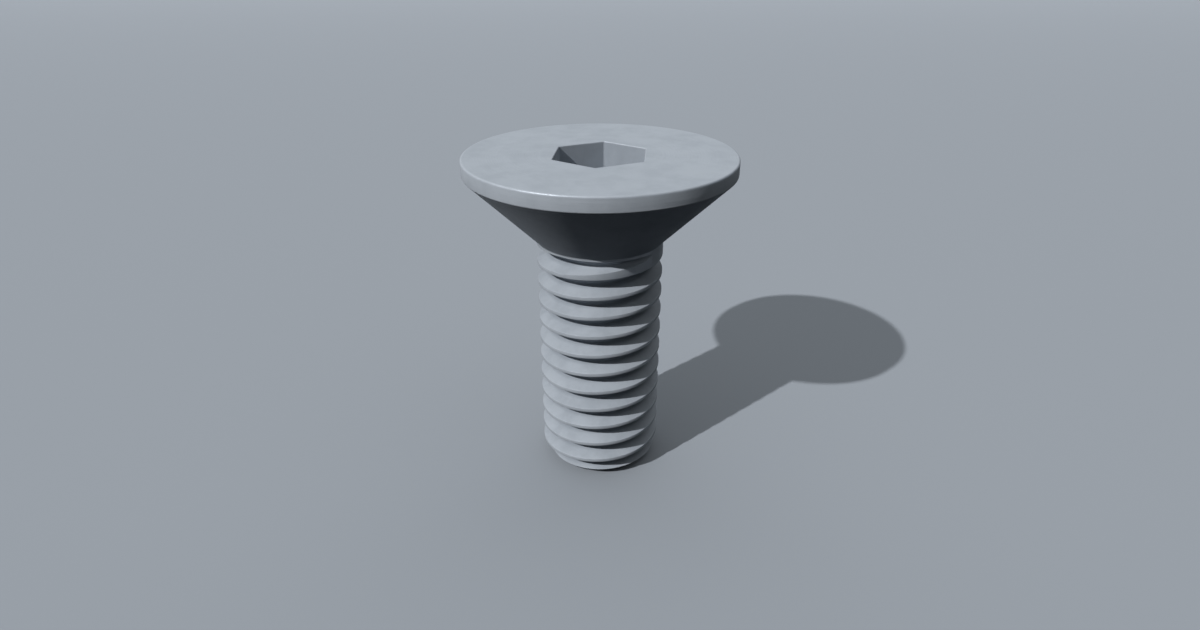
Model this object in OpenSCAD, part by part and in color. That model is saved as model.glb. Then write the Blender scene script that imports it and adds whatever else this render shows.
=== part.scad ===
// Countersunk machine screw with a hexagon socket, in one piece, standing on its flat end.
// The origin is at the centre of the flat end, and +Z runs up the axis to the head.

/* [Thread] */
// Diameter over the crests of the thread
thread_d = 6; // [5:0.1:8]
// Height of one turn of the right-hand thread
thread_pitch = 1; // [0.7:0.05:1.2]
// Angle between the two flanks of the groove
flank_angle = 60; // [55:1:65]
// Direction, counted from +X, in which the groove starts to run out under the head
run_out_direction = -125; // [-180:5:180]
// How far round the screw the groove takes to run out
run_out_angle = 90; // [60:5:120]

/* [Shank] */
// Length over all, from the flat end to the top of the head
screw_length = 16; // [12:0.5:30]
// Angle of the bevel round the flat end, from the axis
end_bevel_angle = 45; // [35:1:55]
// How far the flat end is smaller in radius than the bottom of the groove
end_inset = 0.1; // [0.05:0.01:0.5]

/* [Head] */
// Diameter of the head
head_d = 12.5; // [10.5:0.1:14]
// Height of the upright rim between the top face and the countersunk seat
rim_height = 0.67; // [0.4:0.01:1.2]
// Angle of the whole seat cone, from side to side
seat_angle = 90; // [82:1:100]
// Radius of the rounded corners above and below the rim
rim_rounding = 0.08; // [0.04:0.01:0.15]
// Radius of the fillet between the seat cone and the shank
neck_fillet = 0.15; // [0.1:0.05:0.6]

/* [Socket] */
// Width of the hexagon socket across its flats
socket_width = 4.05; // [3:0.05:5]
// Depth of the flats, from the top face
socket_depth = 2.5; // [1.5:0.1:3]
// Angle of the drilled hollow in the socket's floor, from side to side
socket_point_angle = 120; // [110:1:130]
// Direction of a corner of the hexagon, counted from +X
socket_direction = 25; // [0:1:59]

/* [Hidden] */

// Steps of a whole circle, of a corner's arc and of one turn of the groove
circle_steps = 96;
arc_steps = 4;
turn_steps = 48;
hexagon_sides = 6;
// A cut runs this far past the face that it opens
past = 1;
// Shares of the pitch that the crest and the groove's floor are wide
crest_share = 1 / 6;
floor_share = 1 / 6;
// Share of the crest's width by which a turn of the cutter gets wider outside the crests
cutter_spread = 0.6;
// The run-out stays this far below the fillet of the neck
run_out_clearance = 0.02;
// Share of the socket's width that the drilled hollow is wide
hollow_share = 0.96;

thread_r = thread_d / 2;
head_r = head_d / 2;
seat_slope = tan(seat_angle / 2);
rim_bottom = screw_length - rim_height;
neck_height = rim_bottom - (head_r - thread_r) / seat_slope;

flank_slope = tan(flank_angle / 2);
crest_width = crest_share * thread_pitch;
floor_width = floor_share * thread_pitch;
groove_depth = (thread_pitch - crest_width - floor_width) / (2 * flank_slope);
groove_r = thread_r - groove_depth;

// The cutter's outer face lies outside the crests, and its turns stay clear of each other
cutter_r = thread_r + cutter_spread * crest_width / (2 * flank_slope);
// Once the groove reaches the neck, it is cut less and less deep until it is gone
groove_top = neck_height - neck_fillet * tan(seat_angle / 4) - run_out_clearance;
run_out_middle = groove_top - (thread_pitch - crest_width) / 2;
full_turns = (run_out_middle + thread_pitch) / thread_pitch;
full_steps = ceil(full_turns * turn_steps);
run_out_depth = groove_depth + (cutter_r - thread_r) / 2;
run_out_steps = ceil(run_out_angle / 360 * turn_steps);

end_r = groove_r - end_inset;
end_bevel_height = (thread_r - end_r) / tan(end_bevel_angle);

// Points of an arc round a centre, from one direction to another
function arc(centre, radius, from, to) =
    [for (i = [0 : arc_steps]) let (a = from + (to - from) * i / arc_steps)
        centre + radius * [cos(a), sin(a)]];

// Half of the screw's lengthwise section before the thread and the socket are cut
function blank_outline() =
    let (
        half_seat = seat_angle / 2,
        rim_r = head_r - rim_rounding,
        lower_drop = rim_rounding * tan((90 - half_seat) / 2),
        fillet_drop = neck_fillet * tan(half_seat / 2)
    )
    concat(
        [[0, 0], [end_r, 0], [thread_r, end_bevel_height]],
        arc([thread_r + neck_fillet, neck_height - fillet_drop], neck_fillet, 180, 180 - half_seat),
        arc([rim_r, rim_bottom + lower_drop], rim_rounding, half_seat - 90, 0),
        arc([rim_r, screw_length - rim_rounding], rim_rounding, 0, 90),
        [[0, screw_length]]
    );

// Corners of the cutter, with its floor lifted, at a height and a direction round the axis
function cutter_corners(lift, height, direction) =
    let (
        floor_r = groove_r + lift,
        half_floor = floor_width / 2,
        half_mouth = half_floor + (cutter_r - floor_r) * flank_slope,
        section = [[cutter_r, half_mouth], [floor_r, half_floor], [floor_r, -half_floor], [cutter_r, -half_mouth]]
    )
    [for (corner = section) [corner.x * cos(direction), corner.x * sin(direction), height + corner.y]];

module blank() {
    rotate_extrude($fn = circle_steps) polygon(blank_outline());
}

// The cutter follows the right-hand helix up from below the end and runs out under the head
module thread_cutter() {
    last = full_steps + run_out_steps;
    sides = 4;
    points = [
        for (step = [0 : last])
            let (turns = (step - full_steps) / turn_steps)
            each cutter_corners(
                max(0, step - full_steps) / run_out_steps * run_out_depth,
                run_out_middle + turns * thread_pitch,
                run_out_direction + turns * 360
            )
    ];
    walls = [
        for (step = [0 : last - 1], side = [0 : sides - 1])
            let (
                low = step * sides + side,
                low_next = step * sides + (side + 1) % sides,
                high = low + sides,
                high_next = low_next + sides
            )
            each [[low, high_next, high], [low, low_next, high_next]]
    ];
    first_end = [for (side = [sides - 1 : -1 : 0]) side];
    last_end = [for (side = [0 : sides - 1]) last * sides + side];
    polyhedron(points, concat(walls, [first_end, last_end]));
}

module socket() {
    floor_height = screw_length - socket_depth;
    corner_d = socket_width / cos(180 / hexagon_sides);
    hollow_r = hollow_share * socket_width / 2;
    hollow_height = hollow_r / tan(socket_point_angle / 2);
    translate([0, 0, floor_height]) {
        rotate(socket_direction)
            cylinder(h = socket_depth + past, d = corner_d, $fn = hexagon_sides);
        // The hollow's cut reaches up into the hexagon, so that the floor between them is opened
        rotate_extrude($fn = circle_steps)
            polygon([[0, -hollow_height], [hollow_r, 0], [hollow_r, past], [0, past]]);
    }
}

module screw() {
    color([0.64, 0.68, 0.72])
        difference() {
            blank();
            thread_cutter();
            socket();
        }
}

screw();
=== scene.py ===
"""A countersunk machine screw with a hexagon socket, standing on its flat end on a pale floor."""

from functools import cached_property
import math

import bmesh
import bpy
from mathutils import Matrix, Vector


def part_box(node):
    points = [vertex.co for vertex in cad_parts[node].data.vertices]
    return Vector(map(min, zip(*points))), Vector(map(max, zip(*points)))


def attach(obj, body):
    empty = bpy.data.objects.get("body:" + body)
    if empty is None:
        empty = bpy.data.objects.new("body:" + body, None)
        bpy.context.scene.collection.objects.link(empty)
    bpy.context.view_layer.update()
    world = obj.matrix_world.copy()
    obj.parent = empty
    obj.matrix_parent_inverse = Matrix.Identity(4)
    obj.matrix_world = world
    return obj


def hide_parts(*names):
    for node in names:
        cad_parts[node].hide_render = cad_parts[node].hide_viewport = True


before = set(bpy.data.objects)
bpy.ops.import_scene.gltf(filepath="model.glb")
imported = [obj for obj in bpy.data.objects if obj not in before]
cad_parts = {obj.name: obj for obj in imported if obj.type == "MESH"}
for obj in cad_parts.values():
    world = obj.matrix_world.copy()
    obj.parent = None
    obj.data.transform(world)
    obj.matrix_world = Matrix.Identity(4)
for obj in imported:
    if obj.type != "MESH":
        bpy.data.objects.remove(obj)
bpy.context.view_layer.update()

# Sizes of the screw in millimetres and its angles in degrees. The frame's box gives its length and width
MM = 0.001
BOX_LOW, BOX_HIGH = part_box("screw")
LENGTH = round(BOX_HIGH.z / MM, 3)
HEAD_R = round((BOX_HIGH.x - BOX_LOW.x) / 2 / MM, 2)
RIM_HEIGHT = 0.67
RIM_ROUNDING = 0.08
NECK_FILLET = 0.15

# Each flank of the thread leans by this angle. The crest and the flat floor of the solid's groove are each
# a sixth of the pitch wide
PITCH = 1.0
THREAD_R = 3.0
FLANK_ANGLE = 30
CREST_WIDTH = PITCH / 6
FLOOR_WIDTH = PITCH / 6
GROOVE_DEPTH = (PITCH - CREST_WIDTH - FLOOR_WIDTH) / (2 * math.tan(math.radians(FLANK_ANGLE)))
GROOVE_R = THREAD_R - GROOVE_DEPTH
CREST_ROUNDING = 0.02
# Direction, counted from +X, in which the groove starts to run out, the share of a turn that it takes, and
# how far below the neck's fillet it stays
RUN_OUT_DIRECTION = -125
RUN_OUT_TURN = 0.25
RUN_OUT_CLEARANCE = 0.02

# The seat cone and the end's bevel slope at this angle, so each of them is as high as it is wide
SLOPE_ANGLE = 45
NECK_Z = LENGTH - RIM_HEIGHT - (HEAD_R - THREAD_R)
END_INSET = 0.1
END_R = GROOVE_R - END_INSET
END_ROUNDING = 0.04

# One corner of the hexagon points in this direction, counted from +X
SOCKET_SIDES = 6
SOCKET_WIDTH = 4.05
SOCKET_DEPTH = 2.5
SOCKET_DIRECTION = 25
SOCKET_CORNER_ROUNDING = 0.12
MOUTH_ROUNDING = 0.04
# Share of the socket's width that the drilled hollow is wide, and the angle of its wall to the axis
HOLLOW_SHARE = 0.96
HOLLOW_R = HOLLOW_SHARE * SOCKET_WIDTH / 2
HOLLOW_ANGLE = 60
HOLLOW_DEPTH = HOLLOW_R / math.tan(math.radians(HOLLOW_ANGLE))

# Steps of a whole circle, of one turn of the thread, of a rounded edge and of a rounded mouth
CIRCLE_STEPS = 192
TURN_STEPS = 144
EDGE_STEPS = 4
MOUTH_STEPS = 3
# A cut runs this far past the face that it opens, and the hollow's cut this far up into the hexagon
PAST = 0.01
HOLLOW_PAST = 1
# A rounded mouth ends at this angle to the face, and its cutter runs on straight from there
MOUTH_ANGLE = 20
# Points closer than this are made one, and those closer than this where two turns of the cutter meet
SAME_POINT = 1e-5
SAME_SEAM = 1e-3
# Width of the strip of faces along the edges of the top face, which keeps its shading even
TOP_MARGIN = 0.02
# Edges that turn less than this are shaded smooth
SMOOTH_UP_TO = math.radians(26)

# Numbers of the finishes
TURNED, ROLLED, BROACHED = range(3)
# A face of the socket lies inside this radius and below the top face
SOCKET_ZONE_R = 0.6 * SOCKET_WIDTH
# A face of the flat top lies above this height, and its normal points up by more than this much
TOP_FACE_Z = LENGTH - 0.001
LEVEL = 0.999


# Shapes

def arc(centre, radius, start, end, steps=EDGE_STEPS):
    """Points of a rounded corner of an outline, from one direction in degrees to another."""
    directions = [math.radians(start + (end - start) * i / steps) for i in range(steps + 1)]
    return [(centre[0] + radius * math.cos(a), centre[1] + radius * math.sin(a)) for a in directions]


def reach(rounding, turn):
    """How far a rounding reaches along the sides of a corner that turns by so many degrees."""
    return rounding * math.tan(math.radians(turn / 2))


def fillet_z():
    """Height at which the neck's fillet leaves the shank."""
    return NECK_Z - reach(NECK_FILLET, SLOPE_ANGLE)


def standing_outline(mesh, points, closed=False):
    """The outline's vertices and edges, at X and Z."""
    verts = [mesh.verts.new((x, 0, z)) for x, z in points]
    ends = verts[1:] + verts[:1] if closed else verts[1:]
    return verts + [mesh.edges.new(pair) for pair in zip(verts, ends)]


def verts_of(parts):
    """The vertices among the parts of a mesh."""
    return [part for part in parts if isinstance(part, bmesh.types.BMVert)]


def added(name, data):
    """A new object in the scene."""
    thing = bpy.data.objects.new(name, data)
    bpy.context.scene.collection.objects.link(thing)
    return thing


def finished(name, mesh):
    """An object made of the mesh, facing outwards."""
    bmesh.ops.remove_doubles(mesh, verts=mesh.verts, dist=SAME_POINT)
    bmesh.ops.recalc_face_normals(mesh, faces=mesh.faces)
    data = bpy.data.meshes.new(name)
    mesh.to_mesh(data)
    mesh.free()
    return added(name, data)


def turned(name, outline):
    """A solid of revolution."""
    mesh = bmesh.new()
    bmesh.ops.spin(mesh, geom=standing_outline(mesh, outline), cent=(0, 0, 0), axis=(0, 0, 1),
                   angle=math.tau, steps=CIRCLE_STEPS, use_merge=True)
    return finished(name, mesh)


def turned_blank():
    """The screw as it is before its thread and its socket are cut."""
    rim_r = HEAD_R - RIM_ROUNDING
    rim_low = LENGTH - RIM_HEIGHT + reach(RIM_ROUNDING, SLOPE_ANGLE)
    end_r = END_R - reach(END_ROUNDING, SLOPE_ANGLE)
    outline = [(0, 0)]
    outline += arc((end_r, END_ROUNDING), END_ROUNDING, -90, -SLOPE_ANGLE)
    outline += [(THREAD_R, THREAD_R - END_R)]
    outline += arc((THREAD_R + NECK_FILLET, fillet_z()), NECK_FILLET, 180, 180 - SLOPE_ANGLE)
    outline += arc((rim_r, rim_low), RIM_ROUNDING, -SLOPE_ANGLE, 0)
    outline += arc((rim_r, LENGTH - RIM_ROUNDING), RIM_ROUNDING, 0, 90)
    outline += [(0, LENGTH)]
    return turned("screw_body", outline)


def groove_section():
    """The closed section of the groove's cutter: rounded floor, flanks and rounded mouth."""
    flank = math.radians(FLANK_ANGLE)
    # The rounded floor touches the middle of the solid's flat one and both flanks
    floor_rounding = FLOOR_WIDTH / 2 * math.cos(flank) / (1 - math.sin(flank))
    root = arc((GROOVE_R + floor_rounding, 0), floor_rounding, 180, 270 - FLANK_ANGLE)
    crest_turn = 90 - FLANK_ANGLE
    crest_z = -(PITCH - CREST_WIDTH) / 2 - reach(CREST_ROUNDING, crest_turn)
    crest = arc((THREAD_R - CREST_ROUNDING, crest_z), CREST_ROUNDING, crest_turn, MOUTH_ANGLE, MOUTH_STEPS)
    edge_r, edge_z = crest[-1]
    outside = THREAD_R + PAST
    crest += [(outside, edge_z - (outside - edge_r) / math.tan(math.radians(MOUTH_ANGLE)))]
    lower = root + crest
    upper = [(r, -z) for r, z in lower]
    return lower[::-1] + upper[1:]


def thread_cutter():
    """The section swept up the right-hand helix, then outwards under the head until it is clear."""
    run_out_middle = fillet_z() - RUN_OUT_CLEARANCE - (PITCH - CREST_WIDTH) / 2
    turns = math.ceil((run_out_middle + PITCH) / PITCH)
    run_out_steps = round(RUN_OUT_TURN * TURN_STEPS)
    run_out_start = math.radians(RUN_OUT_DIRECTION)
    step_turn = math.tau / TURN_STEPS
    step_up = PITCH / TURN_STEPS
    step_out = (GROOVE_DEPTH + PAST) / run_out_steps

    mesh = bmesh.new()
    section = standing_outline(mesh, groove_section(), closed=True)
    start = Matrix.Translation((0, 0, run_out_middle)) @ Matrix.Rotation(run_out_start, 4, "Z")
    bmesh.ops.transform(mesh, matrix=start, verts=mesh.verts)
    run_out_section = bmesh.ops.duplicate(mesh, geom=section)["geom"]
    bmesh.ops.spin(mesh, geom=section, cent=(0, 0, 0), axis=(0, 0, 1), dvec=(0, 0, -step_up),
                   angle=-math.tau, steps=TURN_STEPS)
    left_out = set(run_out_section)
    one_turn = [part for part in [*mesh.verts, *mesh.edges, *mesh.faces] if part not in left_out]
    for turn in range(1, turns):
        copied = bmesh.ops.duplicate(mesh, geom=one_turn)["geom"]
        bmesh.ops.translate(mesh, verts=verts_of(copied), vec=(0, 0, -turn * PITCH))
    for step in range(1, run_out_steps + 1):
        drawn = bmesh.ops.spin(mesh, geom=run_out_section, cent=(0, 0, 0), axis=(0, 0, 1),
                               angle=step_turn, steps=1, dvec=(0, 0, step_up))
        run_out_section = drawn["geom_last"]
        direction = run_out_start + step * step_turn
        outwards = Vector((math.cos(direction), math.sin(direction), 0)) * step_out
        bmesh.ops.translate(mesh, verts=verts_of(run_out_section), vec=outwards)
    bmesh.ops.remove_doubles(mesh, verts=mesh.verts, dist=SAME_SEAM)
    bmesh.ops.holes_fill(mesh, edges=[edge for edge in mesh.edges if edge.is_boundary])
    return finished("thread_cutter", mesh)


def raised(mesh, face, up, growth=1.0):
    """The face drawn out upwards, its new end grown round the axis. Returns the new end."""
    drawn = bmesh.ops.extrude_face_region(mesh, geom=[face, *face.edges, *face.verts])["geom"]
    bmesh.ops.translate(mesh, verts=verts_of(drawn), vec=(0, 0, up))
    bmesh.ops.scale(mesh, verts=verts_of(drawn), vec=(growth, growth, 1))
    return next(part for part in drawn if isinstance(part, bmesh.types.BMFace))


def mouth_steps():
    """How far the socket's mouth stands out and up at each step, up to just above the top face."""
    corner = arc((MOUTH_ROUNDING, 0), MOUTH_ROUNDING, 180, 90 + MOUTH_ANGLE, MOUTH_STEPS)[1:]
    last_out, last_up = corner[-1]
    above = MOUTH_ROUNDING + PAST
    return corner + [(last_out + (above - last_up) / math.tan(math.radians(MOUTH_ANGLE)), above)]


def socket_cutter():
    """The hexagon with slightly rounded corners, and a rounded mouth at the top face."""
    mesh = bmesh.new()
    flat_r = SOCKET_WIDTH / 2
    corner_r = flat_r / math.cos(math.pi / SOCKET_SIDES)
    bmesh.ops.create_circle(mesh, cap_ends=True, segments=SOCKET_SIDES, radius=corner_r)
    # The circle comes with its first corner at +Y
    turn = Matrix.Rotation(math.radians(SOCKET_DIRECTION - 90), 4, "Z")
    place = Matrix.Translation((0, 0, LENGTH - SOCKET_DEPTH)) @ turn
    bmesh.ops.transform(mesh, matrix=place, verts=mesh.verts)
    offset = reach(SOCKET_CORNER_ROUNDING, 360 / SOCKET_SIDES)
    bmesh.ops.bevel(mesh, geom=list(mesh.verts), offset=offset, offset_type="OFFSET", segments=EDGE_STEPS,
                    profile=0.5, affect="VERTICES", material=-1)
    mesh.faces.ensure_lookup_table()
    end = raised(mesh, mesh.faces[0], SOCKET_DEPTH - MOUTH_ROUNDING)
    end_r, height = flat_r, 0
    for out, up in mouth_steps():
        end = raised(mesh, end, up - height, (flat_r + out) / end_r)
        end_r, height = flat_r + out, up
    return finished("socket_cutter", mesh)


def hollow_cutter():
    """The drilled hollow in the socket's floor."""
    floor_z = LENGTH - SOCKET_DEPTH
    top_z = floor_z + HOLLOW_PAST
    outline = [(0, floor_z - HOLLOW_DEPTH), (HOLLOW_R, floor_z), (HOLLOW_R, top_z), (0, top_z)]
    return turned("hollow_cutter", outline)


def carve(piece, cutters):
    """Cuts the cutters out of the piece and removes them."""
    for cutter in cutters:
        cut = piece.modifiers.new(cutter.name, "BOOLEAN")
        cut.operation = "DIFFERENCE"
        cut.solver = "MANIFOLD"
        cut.object = cutter
    seen = piece.evaluated_get(bpy.context.evaluated_depsgraph_get())
    uncut = piece.data
    piece.data = bpy.data.meshes.new_from_object(seen)
    piece.data.materials.clear()
    piece.modifiers.clear()
    bpy.data.meshes.remove(uncut)
    for cutter in cutters:
        bpy.data.meshes.remove(cutter.data)


def is_top(face):
    """Whether a face lies in the flat top of the head."""
    return face.normal.z > LEVEL and face.calc_center_median().z > TOP_FACE_Z


def zone_of(face):
    """The number of the finish that a face has."""
    middle = face.calc_center_median()
    if middle.z < NECK_Z:
        return ROLLED
    in_socket = math.hypot(middle.x, middle.y) < SOCKET_ZONE_R and middle.z < TOP_FACE_Z
    return BROACHED if in_socket else TURNED


def screw_piece():
    """The whole screw as one closed mesh in metres, shaded smooth between its true edges."""
    piece = turned_blank()
    carve(piece, [thread_cutter(), socket_cutter(), hollow_cutter()])
    mesh = bmesh.new()
    mesh.from_mesh(piece.data)
    bmesh.ops.remove_doubles(mesh, verts=mesh.verts, dist=SAME_POINT)
    bmesh.ops.inset_region(mesh, faces=[face for face in mesh.faces if is_top(face)],
                           thickness=TOP_MARGIN, use_boundary=True, use_even_offset=True)
    for face in mesh.faces:
        face.smooth = True
        face.material_index = zone_of(face)
    for edge in mesh.edges:
        edge.smooth = edge.is_manifold and edge.calc_face_angle() < SMOOTH_UP_TO
    bmesh.ops.scale(mesh, verts=mesh.verts, vec=(MM, MM, MM))
    mesh.to_mesh(piece.data)
    mesh.free()
    weights = piece.modifiers.new("even_shading", "WEIGHTED_NORMAL")
    weights.weight = 100
    weights.keep_sharp = True
    return piece


# Materials

COLOUR, NUMBER = "NodeSocketColor", "NodeSocketFloat"
# The coating, the steel where it shows through, and a darker tone that gives both the coating's random
# mottling and the painted shade in the groove's floor and the socket
STEEL = (0.43, 0.47, 0.52, 1)
BRIGHT = (0.52, 0.56, 0.61, 1)
MOTTLE_AND_SHADE_TONE = (0.24, 0.27, 0.31, 1)
# How metallic the steel is where it is bare, and the level of the coating's sheen
BARE_METALLIC = 0.4
SHEEN_LEVEL = 0.008
# The marks get no finer than they are at this distance from the axis, in millimetres
FINEST_MARKS_R = 0.05
# Distances in millimetres from an edge at which its wear begins and at which it is full
RIM_WEAR = (0.14, 0.06)
CREST_WEAR = (0.05, 0.0)
MOUTH_WEAR = (0.08, 0.02)
# Heights above the groove's floor up to which the painted shade is full and at which it ends
GROOVE_SHADE_HEIGHTS = (0.02, 0.2)


class Nodes:
    """Adds nodes to a tree and links them. Sockets and plain values go in alike."""

    def __init__(self, tree):
        self.tree = tree

    def feed(self, value, socket):
        """Links a socket to the socket, or sets a plain value on it."""
        if isinstance(value, bpy.types.NodeSocket):
            self.tree.links.new(value, socket)
        else:
            socket.default_value = value

    def fill(self, node, inputs):
        """Feeds a node's inputs, each found by its name or number."""
        for name, value in inputs.items():
            self.feed(value, node.inputs[name])

    def node(self, kind, inputs=None, **settings):
        """A new node with its settings and inputs."""
        node = self.tree.nodes.new(kind)
        for name, value in settings.items():
            setattr(node, name, value)
        self.fill(node, inputs or {})
        return node

    def group(self, name, inputs):
        """The outputs of a shared node group, placed with its own values."""
        return self.node("ShaderNodeGroup", inputs, node_tree=bpy.data.node_groups[name]).outputs

    def math(self, operation, *values):
        """A sum, product or other result of one or two values."""
        return self.node("ShaderNodeMath", dict(enumerate(values)), operation=operation).outputs[0]

    def ramp(self, value, low, high, to_low=0.0, to_high=1.0):
        """The value mapped smoothly from one span to another."""
        inputs = {"Value": value, "From Min": low, "From Max": high, "To Min": to_low, "To Max": to_high}
        return self.node("ShaderNodeMapRange", inputs, interpolation_type="SMOOTHSTEP").outputs["Result"]

    def mix(self, share, first, second):
        """The first colour, turned into the second by the share."""
        node = self.node("ShaderNodeMix", data_type="RGBA")
        for name, kind, value in [("Factor", "VALUE", share), ("A", "RGBA", first), ("B", "RGBA", second)]:
            self.feed(value, next(s for s in node.inputs if s.name == name and s.type == kind))
        return next(s for s in node.outputs if s.type == "RGBA")

    def noise(self, vector, **inputs):
        """A noise pattern whose values lie round a half. It has a fourth coordinate if W is given."""
        dimensions = "4D" if "W" in inputs else "3D"
        inputs["Vector"] = vector
        return self.node("ShaderNodeTexNoise", inputs, noise_dimensions=dimensions).outputs["Fac"]

    def scaled(self, vector, scale):
        """The vector made longer by the scale."""
        return self.node("ShaderNodeVectorMath", {0: vector, "Scale": scale}, operation="SCALE").outputs[0]

    @cached_property
    def place(self):
        """Object coordinates in millimetres."""
        return self.scaled(self.node("ShaderNodeTexCoord").outputs["Object"], 1 / MM)

    @cached_property
    def parts(self):
        """The X, Y and Z of the place."""
        return self.node("ShaderNodeSeparateXYZ", {0: self.place}).outputs

    @cached_property
    def radius(self):
        """The distance of the place from the screw's axis."""
        squares = [self.math("MULTIPLY", self.parts[axis], self.parts[axis]) for axis in "XY"]
        return self.math("SQRT", self.math("ADD", *squares))


def group_tree(name, inputs, outputs):
    """A new shader node group: its nodes, what is given to it and where its results go."""
    tree = bpy.data.node_groups.new(name, "ShaderNodeTree")
    for label, value in inputs.items():
        kind = COLOUR if isinstance(value, tuple) else NUMBER
        tree.interface.new_socket(label, in_out="INPUT", socket_type=kind).default_value = value
    for label, kind in outputs.items():
        tree.interface.new_socket(label, in_out="OUTPUT", socket_type=kind)
    nodes = Nodes(tree)
    return nodes, nodes.node("NodeGroupInput").outputs, nodes.node("NodeGroupOutput").inputs


def tool_marks_group():
    """Fine marks left by a tool: rings round the axis, or scores along it, with a fine grain over them."""
    nodes, given, result = group_tree(
        "tool_marks",
        {"Across Radius": 1.0, "Across Height": 1.0, "Around": 1.0, "Marks Per Millimetre": 6.0,
         "Scores Per Millimetre": 0.0, "Grain": 0.3, "Roughness": 0.4, "Roughness Spread": 0.1},
        {"Height": NUMBER, "Roughness": NUMBER})
    across = nodes.math("ADD", nodes.math("MULTIPLY", nodes.radius, given["Across Radius"]),
                        nodes.math("MULTIPLY", nodes.parts["Z"], given["Across Height"]))
    ring = nodes.math("MULTIPLY", across, given["Marks Per Millimetre"])
    flat_place = nodes.node("ShaderNodeCombineXYZ", {axis: nodes.parts[axis] for axis in "XY"}).outputs[0]
    marks_r = nodes.math("MAXIMUM", nodes.radius, FINEST_MARKS_R)
    turn_scale = nodes.math("DIVIDE", given["Around"], marks_r)
    turn_scale = nodes.math("ADD", turn_scale, given["Scores Per Millimetre"])
    turn_place = nodes.scaled(flat_place, turn_scale)
    marks = nodes.noise(turn_place, W=ring, Scale=1.0, Detail=3.0, Roughness=0.65)
    grain = nodes.noise(nodes.place, Scale=9.0, Detail=2.0)
    height = nodes.math("ADD", marks, nodes.math("MULTIPLY", grain, given["Grain"]))
    # Both patterns lie round a half, so less one their sum swings by a half to either side
    swing = nodes.math("SUBTRACT", nodes.math("ADD", marks, grain), 1.0)
    swing = nodes.math("MULTIPLY", nodes.math("MULTIPLY", swing, given["Roughness Spread"]), 2.0)
    nodes.feed(height, result["Height"])
    nodes.feed(nodes.math("ADD", given["Roughness"], swing), result["Roughness"])


def steel_tone_group():
    """The matt grey coating: mottled, rubbed to bare steel where it is worn, and darkened by painted shade
    where its mask puts it.
    """
    nodes, given, result = group_tree(
        "steel_tone",
        {"Steel": STEEL, "Bright": BRIGHT, "Mottle And Shade Tone": MOTTLE_AND_SHADE_TONE, "Worn": 0.0, "Painted Shade": 0.0, "Mottling": 0.3},
        {"Colour": COLOUR, "Bare": NUMBER})
    cloud = nodes.ramp(nodes.noise(nodes.place, Scale=0.9, Detail=5.0, Roughness=0.6), low=0.35, high=0.7)
    mottled = nodes.mix(nodes.math("MULTIPLY", cloud, given["Mottling"]), given["Steel"], given["Mottle And Shade Tone"])
    # Painted shade: the mottled colour is darkened towards the darker tone by the painted shade mask
    painted_shade = nodes.mix(given["Painted Shade"], mottled, given["Mottle And Shade Tone"])
    patch = nodes.ramp(nodes.noise(nodes.place, Scale=1.1, Detail=2.0), low=0.3, high=0.65, to_low=0.4)
    worn = nodes.math("MULTIPLY", given["Worn"], patch)
    nodes.feed(nodes.mix(worn, painted_shade, given["Bright"]), result["Colour"])
    nodes.feed(worn, result["Bare"])


def new_material(name):
    """A material, its nodes and its shader."""
    material = bpy.data.materials.new(name)
    material.use_nodes = True
    return material, Nodes(material.node_tree), material.node_tree.nodes["Principled BSDF"]


def steel_material(name, marks, worn, painted_shade=None, mottling=0.3, depth=0.004):
    """One finish of the steel, with the masks of its wear and its painted shade. The marks' depth is in
    millimetres.
    """
    material, nodes, shader = new_material(name)
    material.diffuse_color = STEEL
    tones = {"Steel": STEEL, "Bright": BRIGHT, "Mottle And Shade Tone": MOTTLE_AND_SHADE_TONE, "Mottling": mottling, "Worn": worn(nodes)}
    # The optional mask paints shade into the colour
    if painted_shade:
        tones["Painted Shade"] = painted_shade(nodes)
    tone = nodes.group("steel_tone", tones)
    tool = nodes.group("tool_marks", marks)
    bump = nodes.node("ShaderNodeBump", {"Height": tool["Height"], "Distance": depth * MM, "Strength": 1.0})
    nodes.fill(shader, {"Base Color": tone["Colour"], "Roughness": tool["Roughness"],
                        "Metallic": nodes.math("MULTIPLY", tone["Bare"], BARE_METALLIC),
                        "Specular IOR Level": SHEEN_LEVEL, "Normal": bump.outputs["Normal"]})
    return material


def rim_wear(nodes):
    """Bright along the edge between the top face and the rim."""
    edge = HEAD_R + LENGTH
    out_and_up = nodes.math("ADD", nodes.radius, nodes.parts["Z"])
    return nodes.ramp(out_and_up, edge - RIM_WEAR[0], edge - RIM_WEAR[1])


def crest_wear(nodes):
    """A little brighter on the crests of the thread."""
    return nodes.ramp(nodes.radius, THREAD_R - CREST_WEAR[0], THREAD_R - CREST_WEAR[1], to_high=0.35)


def painted_groove_shade(nodes):
    """Painted shade: darker in the floor of the groove, fading out up the flanks."""
    return nodes.ramp(nodes.radius, GROOVE_R + GROOVE_SHADE_HEIGHTS[0], GROOVE_R + GROOVE_SHADE_HEIGHTS[1], to_low=0.5, to_high=0.0)


def mouth_wear(nodes):
    """Bright round the socket's mouth."""
    return nodes.ramp(nodes.parts["Z"], LENGTH - MOUTH_WEAR[0], LENGTH - MOUTH_WEAR[1])


def painted_socket_shade(nodes):
    """Painted shade: darker towards the bottom of the socket, and somewhat darker all over it."""
    bottom = LENGTH - SOCKET_DEPTH - HOLLOW_DEPTH
    return nodes.ramp(nodes.parts["Z"], bottom, LENGTH, to_low=0.8, to_high=0.3)


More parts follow.
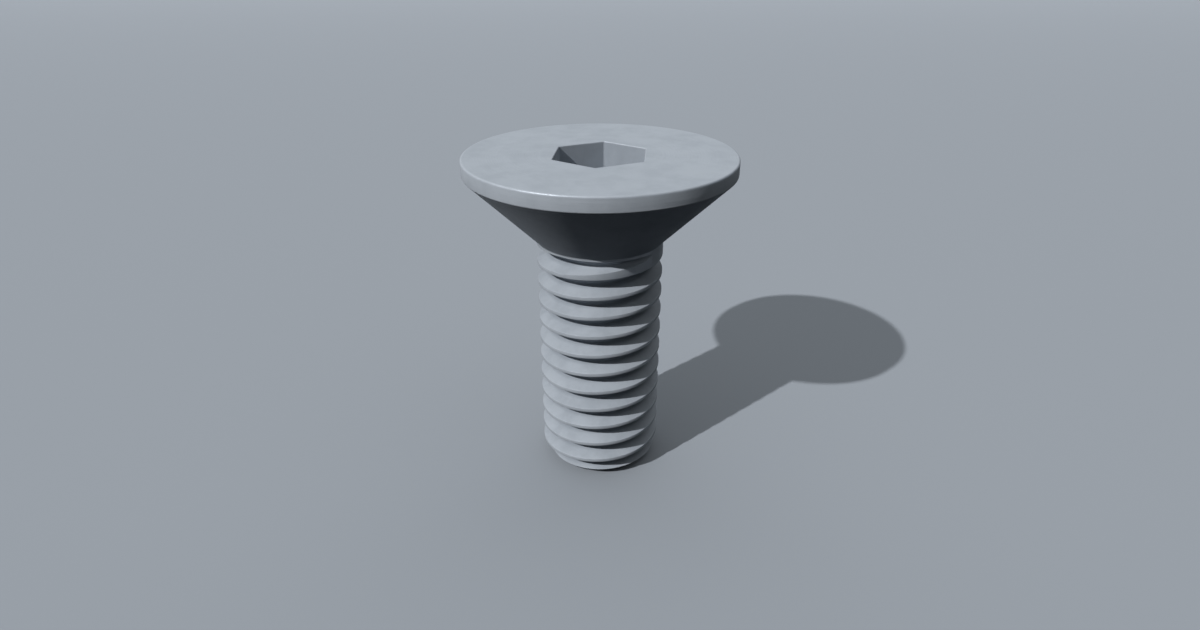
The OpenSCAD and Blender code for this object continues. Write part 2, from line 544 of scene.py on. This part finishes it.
def steel_materials():
    """The finishes in the order of their numbers: turned head, rolled shank, broached socket."""
    tool_marks_group()
    steel_tone_group()
    turned_marks = {"Marks Per Millimetre": 4.5, "Around": 0.8, "Grain": 0.2, "Roughness": 0.5,
                    "Roughness Spread": 0.2}
    rolled_marks = {"Across Height": 0.0, "Marks Per Millimetre": 9.0, "Around": 1.5, "Grain": 0.5,
                    "Roughness": 0.46}
    broached_marks = {"Across Radius": 0.0, "Across Height": 0.2, "Around": 0.0, "Marks Per Millimetre": 1.0,
                      "Scores Per Millimetre": 6.0, "Roughness": 0.5}
    return [steel_material("turned_steel", turned_marks, worn=rim_wear, mottling=0.2, depth=0.012),
            # The rolled shank gets painted shade in the floor of its groove
            steel_material("rolled_steel", rolled_marks, worn=crest_wear, painted_shade=painted_groove_shade),
            # The broached socket gets painted shade, deepening towards its bottom
            steel_material("broached_steel", broached_marks, worn=mouth_wear, painted_shade=painted_socket_shade)]


# Stage, light and camera

# The floor's colour as it is seen, and as what it sends back up to the screw. Its radius is in metres
FLOOR_COLOUR = (0.34, 0.37, 0.41, 1)
FLOOR_BOUNCE = (0.008, 0.01, 0.013, 1)
FLOOR_R = 3.0
FLOOR_SIDES = 64
BACKDROP_COLOUR = (0.38, 0.415, 0.455, 1)
# The sky is weak near the ground and gets stronger from this height of a direction up to overhead
SKY_COLOUR = (0.94, 0.98, 1.0, 1)
SKY_LOW = 0.02
SKY_OVERHEAD = 0.53
SKY_FROM = 0.25
# The sun's light travels in this direction, counted from +X, and the sun stands at this height
SUN_STRENGTH = 2.65
SUN_SPREAD = math.radians(0.9)
SUN_TRAVEL = math.radians(41.05)
SUN_HEIGHT = math.radians(39.19)
# The back panel is measured in metres
PANEL_PLACE = (0.0, 0.6, 0.45)
PANEL_WIDTH = 1.6
PANEL_DEPTH = 0.6
PANEL_POWER = 2.0
# The photograph's width and focal length in pixels, and the camera's sensor in millimetres
IMAGE_WIDTH = 1200
FOCAL_LENGTH = 745.4
SENSOR_WIDTH = 36.0
# The camera's angle above level, its distance from the point that it looks at, and that point's height
VIEW_ELEVATION = math.radians(26.75)
VIEW_DISTANCE = 37.22
AIM_HEIGHT = 7.87
# The camera shows what lies between these distances, in metres
SHOWN_FROM = 0.001
SHOWN_TO = 20.0


def seen_directly(nodes):
    """1 where the camera or a mirror sees the surface, 0 where it only sends light on."""
    ray = nodes.node("ShaderNodeLightPath").outputs
    mirrored = nodes.math("MAXIMUM", ray["Is Glossy Ray"], ray["Is Transmission Ray"])
    return nodes.math("MAXIMUM", ray["Is Camera Ray"], mirrored)


def aim(thing, direction):
    """Turns a lamp or the camera to face along the direction."""
    thing.rotation_mode = "QUATERNION"
    thing.rotation_quaternion = direction.to_track_quat("-Z", "Y")


def floor():
    """A pale matt floor. It looks pale, but sends less light back up than its colour would."""
    mesh = bmesh.new()
    bmesh.ops.create_circle(mesh, cap_ends=True, segments=FLOOR_SIDES, radius=FLOOR_R)
    piece = finished("floor", mesh)
    material, nodes, shader = new_material("floor_paint")
    colour = nodes.mix(seen_directly(nodes), FLOOR_BOUNCE, FLOOR_COLOUR)
    nodes.fill(shader, {"Base Color": colour, "Roughness": 0.9, "Specular IOR Level": 0.1})
    piece.data.materials.append(material)


def key_light():
    """The sun, which casts the screw's shadow."""
    key = bpy.data.lights.new("key", "SUN")
    key.energy = SUN_STRENGTH
    key.angle = SUN_SPREAD
    lamp = added("key", key)
    aim(lamp, Vector((math.cos(SUN_TRAVEL), math.sin(SUN_TRAVEL), -math.tan(SUN_HEIGHT))))


def back_panel():
    """A wide soft lamp behind the screw and above it, facing down."""
    panel = bpy.data.lights.new("back_panel", "AREA")
    panel.shape = "RECTANGLE"
    panel.size = PANEL_WIDTH
    panel.size_y = PANEL_DEPTH
    panel.energy = PANEL_POWER
    stand = added("back_panel", panel)
    stand.location = PANEL_PLACE
    stand.visible_glossy = False


def sky():
    """Light that comes mostly from overhead, and a plain backdrop in its place where it is seen."""
    world = bpy.data.worlds.new("studio")
    world.use_nodes = True
    nodes = Nodes(world.node_tree)
    direction = nodes.node("ShaderNodeTexCoord").outputs["Generated"]
    height = nodes.node("ShaderNodeSeparateXYZ", {0: direction}).outputs["Z"]
    strength = nodes.ramp(height, SKY_FROM, 1.0, SKY_LOW, SKY_OVERHEAD)
    seen = seen_directly(nodes)
    nodes.fill(world.node_tree.nodes["Background"], {
        "Color": nodes.mix(seen, SKY_COLOUR, BACKDROP_COLOUR),
        "Strength": nodes.math("MAXIMUM", strength, seen)})
    bpy.context.scene.world = world


def camera():
    """A camera at the photograph's angle and distance, looking at the middle of the screw."""
    data = bpy.data.cameras.new("camera")
    data.sensor_width = SENSOR_WIDTH
    data.lens = SENSOR_WIDTH * FOCAL_LENGTH / IMAGE_WIDTH
    data.clip_start = SHOWN_FROM
    data.clip_end = SHOWN_TO
    viewer = added("camera", data)
    back = Vector((0, -math.cos(VIEW_ELEVATION), math.sin(VIEW_ELEVATION)))
    viewer.location = Vector((0, 0, AIM_HEIGHT * MM)) + back * VIEW_DISTANCE * MM
    aim(viewer, -back)
    bpy.context.scene.camera = viewer


screw = screw_piece()
for finish in steel_materials():
    screw.data.materials.append(finish)
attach(screw, "root")
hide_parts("screw")

floor()
key_light()
back_panel()
sky()
camera()
bpy.context.scene.view_settings.view_transform = "Standard"

bpy.context.view_layer.update()
